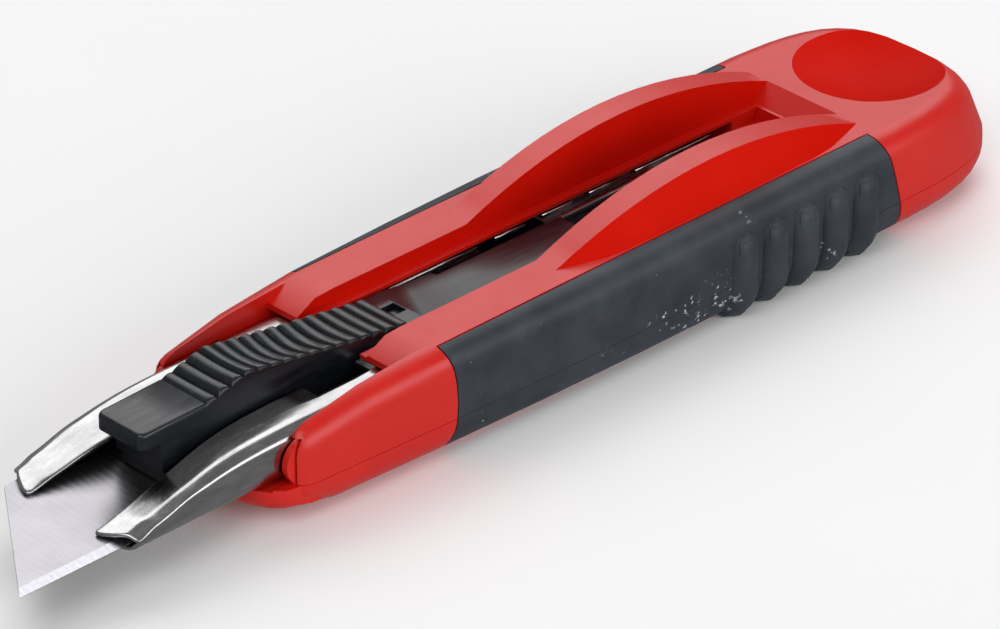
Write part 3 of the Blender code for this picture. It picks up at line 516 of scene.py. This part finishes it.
def steel_channel():
    """The folded channel: flat floor, round lower corners and lips that dip towards the blade."""
    sheet = 0.6 * MM
    tip_reach = 1.4 * MM        # the lips' tips stand this far ahead of the channel's front
    slant_length = 8.0          # mm over which the front edge's slant dies out
    fold_inset = 1.4 * MM
    lip_width_y, tip_width_y = 4.6, 0.9
    low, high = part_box("blade_channel")
    half = high.y - 0.02 * MM
    floor_z = low.z + 0.01 * MM
    lip_z = high.z
    front = low.x - tip_reach
    # distance back from the tips, then how far the lip's inner edge, its fold and the shoulder
    # lie below their level part, in millimetres
    stations = ((0.0, 4.85, 4.2, 3.8), (0.8, 4.75, 4.05, 3.6), (2.1, 4.5, 3.75, 3.3), (3.6, 4.1, 3.3, 2.7),
                (6.0, 3.65, 3.1, 2.4), (10.0, 2.6, 1.9, 1.2), (12.2, 2.2, 1.45, 0.9),
                (13.5, 1.9, 1.15, 0.7), (17.0, 1.1, 0.45, 0.2), (22.0, 0.2, 0.0, 0.0),
                (29.0, 0.0, 0.0, 0.0), (61.4, 0.0, 0.0, 0.0), ((high.x - front) / MM, 0.0, 0.0, 0.0))
    # how far each point of the front section lies behind the lips' tips, in millimetres
    slants = (0.8, 0.0, 0.5, 1.4, 1.8, 2.1, 2.4, 2.7, 2.9, 2.4, 1.8, 1.4)

    def section(back, inner_drop, fold_drop, shoulder_drop):
        """One side's points from the lip's inner edge to the floor, and their mirror."""
        inner_y = (lip_width_y + tip_width_y * max(0.0, min(1.0, (17.0 - back) / 10.0))) * MM
        inner = Vector((0.0, inner_y, lip_z - inner_drop * MM))
        fold = Vector((0.0, half - fold_inset, lip_z - fold_drop * MM))
        shoulder = Vector((0.0, half, lip_z - (1.15 + shoulder_drop) * MM))
        wall_foot = Vector((0.0, half, floor_z + 1.8 * MM))
        points = [inner, inner.lerp(fold, 0.08), inner.lerp(fold, 0.45), inner.lerp(fold, 0.86),
                  fold, fold.lerp(shoulder, 0.5), shoulder,
                  shoulder.lerp(wall_foot, 0.25), shoulder.lerp(wall_foot, 0.9),
                  Vector((0.0, half - 0.55 * MM, floor_z + 0.5 * MM)),
                  Vector((0.0, half - 1.9 * MM, floor_z)), Vector((0.0, half - 6 * MM, floor_z))]
        for point, slant in zip(points, slants):
            point.x = front + (back + slant * max(0.0, 1.0 - back / slant_length)) * MM
        return points + [Vector((point.x, -point.y, point.z)) for point in reversed(points)]

    bm = bmesh.new()
    verts = [bm.verts.new(point) for point in section(*stations[0])]
    edges = [bm.edges.new(pair) for pair in zip(verts, verts[1:])]
    for station in stations[1:]:
        moved = bmesh.ops.extrude_edge_only(bm, edges=edges)["geom"]
        edges = [item for item in moved if isinstance(item, bmesh.types.BMEdge)
                 and len(item.link_faces) == 1 and all(vert not in verts for vert in item.verts)]
        following = []
        for vert in verts:
            twin = next(edge.other_vert(vert) for edge in vert.link_edges
                        if edge.other_vert(vert) not in verts and edge.other_vert(vert) in moved)
            following.append(twin)
        for vert, point in zip(following, section(*station)):
            vert.co = point
        verts = following
    channel = finish_piece(bm, "steel_blade_channel", STAINLESS, "handle")
    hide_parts("blade_channel")
    modify(channel, "SOLIDIFY", thickness=sheet, offset=-1.0)
    modify(channel, "SUBSURF", levels=2, render_levels=2)

    # the blade-change window in the near lip, then the click notches in the far one
    cut_low, cut_high = lip_z - 1.2 * MM, lip_z + 1.0 * MM
    cut_out(channel, Vector((low.x + 31.8 * MM, -7.4 * MM, cut_low)),
            Vector((low.x + 40.2 * MM, -3.0 * MM, cut_high)))
    for number in range(4):
        notch = low.x + (69.2 + 8.0 * number) * MM
        cut_out(channel, Vector((notch, 3.0 * MM, cut_low)),
                Vector((notch + 3.0 * MM, 5.9 * MM, cut_high)))


# ---------------------------------------------------------------- thumb slide

def thumb_slide():
    """The ribbed thumb piece: a flat pad with rounded corners and sixteen ribs whose crest line
    rises steeply and falls slowly, scooped in the middle."""
    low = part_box("thumb_slide")[0]
    front = low.x - 0.8 * MM
    half = 4.0 * MM
    pad_z = 15.6 * MM
    pad_droop = 0.35 * MM
    under_pad_z, under_tail_z = 13.2 * MM, 11.1 * MM
    corner, rim = 1.1 * MM, 0.55 * MM
    rib_start, crest_x, rib_end = low.x + 9.0 * MM, low.x + 15.5 * MM, low.x + 41.4 * MM
    crest_rise, rear_fall = 1.8 * MM, 4.1 * MM
    ribs, steps = 16, 8
    pitch = (rib_end - rib_start) / ribs
    groove_depth = 0.85 * MM
    scoop_x, scoop_length, scoop_depth = low.x + 24.5 * MM, 8.5 * MM, 0.95 * MM

    bm = block(Vector((front, -half, low.z)), Vector((rib_end, half, pad_z)))
    uprights = [edge for edge in bm.edges if abs(edge.verts[0].co.z - edge.verts[1].co.z) > MM
                and edge.verts[0].co.x < front + MM]
    bmesh.ops.bevel(bm, geom=uprights, offset=corner, segments=5, profile=0.5, material=-1,
                    affect="EDGES")
    top_rim = [edge for edge in bm.edges if all(vert.co.z > pad_z - 0.01 * MM for vert in edge.verts)
               and not all(vert.co.x > rib_end - 0.01 * MM for vert in edge.verts)]
    bmesh.ops.bevel(bm, geom=top_rim, offset=rim, segments=4, profile=0.5, material=-1,
                    affect="EDGES")
    rib_cuts = [rib_start + pitch * step / steps for step in range(ribs * steps)]
    underside_cuts = [front + back * MM for back in (2.85, 3.15, 35.85, 36.15)]
    slice_along(bm, rib_cuts + underside_cuts, (1.0, 0.0, 0.0))
    slice_along(bm, [pad_z - 0.9 * MM], (0.0, 0.0, 1.0))
    slice_along(bm, [half * share for share in (-0.66, -0.4, -0.13, 0.13, 0.4, 0.66)], (0.0, 1.0, 0.0))

    for vert in bm.verts:
        x, y, z = vert.co
        if z < low.z + 0.1 * MM:
            if x < front + 3.0 * MM:
                vert.co.z = under_pad_z
            elif x > front + 36.0 * MM:
                vert.co.z = under_tail_z
            continue
        if z < pad_z - MM:
            continue
        if x < rib_start:
            rise = -pad_droop * (rib_start - x) / (rib_start - front)
        elif x < crest_x:
            rise = crest_rise * (x - rib_start) / (crest_x - rib_start)
        else:
            rise = crest_rise - rear_fall * (x - crest_x) / (rib_end - crest_x)
        if x > rib_start:
            # the grooves fade out over the rounded rim, so the side walls stay smooth
            fade = max(0.0, min(1.0, (z - pad_z) / (0.6 * MM) + 1.0))
            phase = (x - rib_start) / pitch % 1.0
            rise += groove_depth * fade * (math.sqrt(max(0.0, 1 - (2 * phase - 1) ** 2)) - 1.0)
            scoop = math.exp(-((x - scoop_x) / scoop_length) ** 2)
            rise -= scoop_depth * scoop * (1 - (y / half) ** 2)
        vert.co.z += rise
    slide = finish_piece(bm, "ribbed_thumb_slide", NYLON, "carriage")
    slide.data.set_sharp_from_angle(angle=math.radians(50))
    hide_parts("thumb_slide")


def thumb_slide_tail():
    """The flat tail behind the ribs: a raised cross bar with a square window for the carrier's
    hook, and a narrowed end."""
    low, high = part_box("thumb_slide")
    front = low.x - 0.8 * MM
    tail_start = front + 36.5 * MM
    half = 4.2 * MM
    base_z, top_z, bar_z = 11.0 * MM, 12.1 * MM, 13.0 * MM
    window_half = 1.15 * MM

    bm = block(Vector((tail_start, -half, base_z)), Vector((high.x, half, top_z)))
    slice_along(bm, [front + back * MM for back in (41.0, 44.6, 49.0, 53.0, 53.3)], (1.0, 0.0, 0.0))
    for vert in bm.verts:
        back = (vert.co.x - front) / MM
        if vert.co.z > top_z - 0.1 * MM and 40.0 < back < 45.0:
            vert.co.z = bar_z
        if back > 53.2:
            vert.co.y *= 3.2 / 4.2
    rims = [edge for edge in bm.edges if edge.calc_face_angle(0.0) > math.radians(40)]
    bmesh.ops.bevel(bm, geom=rims, offset=0.14 * MM, segments=2, profile=0.5, material=-1,
                    affect="EDGES")
    tail = finish_piece(bm, "thumb_slide_tail", NYLON_TAIL, "carriage")
    tail.data.set_sharp_from_angle(angle=math.radians(40))
    cut_out(tail, Vector((front + 41.9 * MM, -window_half, base_z - MM)),
            Vector((front + 44.2 * MM, window_half, bar_z + MM)))


# ---------------------------------------------------------------- all the pieces

upper_shell = softened("upper_shell", "upper_handle_shell", RED, 0.2 * MM, polish_hollows)
upper_shell.data.materials.append(POLISHED_RED)
softened("lower_shell", "lower_handle_shell", RED, 0.12 * MM, narrow_seam)
for side, direction in (("left", 1), ("right", -1)):
    softened("upper_grip_" + side, "upper_soft_grip_" + side, GRIP, 0.08 * MM)
    softened("lower_grip_" + side, "lower_soft_grip_" + side, GRIP, 0.08 * MM, narrow_seam)
    for number in range(5):
        finger_rib("finger_rib_%s_%d" % (side, number + 1), direction, (29.7 + 5.3 * number) * MM)
softened("blade_carrier", "sliding_blade_carrier", NYLON, 0.2 * MM)
softened("storage_hatch", "spare_blade_hatch", RED, 0.2 * MM)
steel_channel()
thumb_slide()
thumb_slide_tail()

# CAD nodes whose shape is right keep it and get a finished material
for material, node_names in (
        (BLADE, ("cutting_blade", "spare_blade_1", "spare_blade_2", "spare_blade_3")),
        (SPRING, ("detent_spring",)),
        (ZINC, ("hatch_pin", "channel_rivet_left", "channel_rivet_right", "shell_screw_front_left",
                "shell_screw_front_right", "shell_screw_rear"))):
    for node_name in node_names:
        for slot in frame["nodes"][node_name].material_slots:
            slot.material = material


# ---------------------------------------------------------------- floor

def pale_floor():
    """A wide board under the knife. It stays out of reflections, so the knife's sides keep
    their depth instead of taking its white."""
    bm = bmesh.new()
    bmesh.ops.create_grid(bm, x_segments=1, y_segments=1, size=3.0)
    floor = new_piece(bm, "floor", matt_white_board())
    floor.visible_glossy = False


pale_floor()
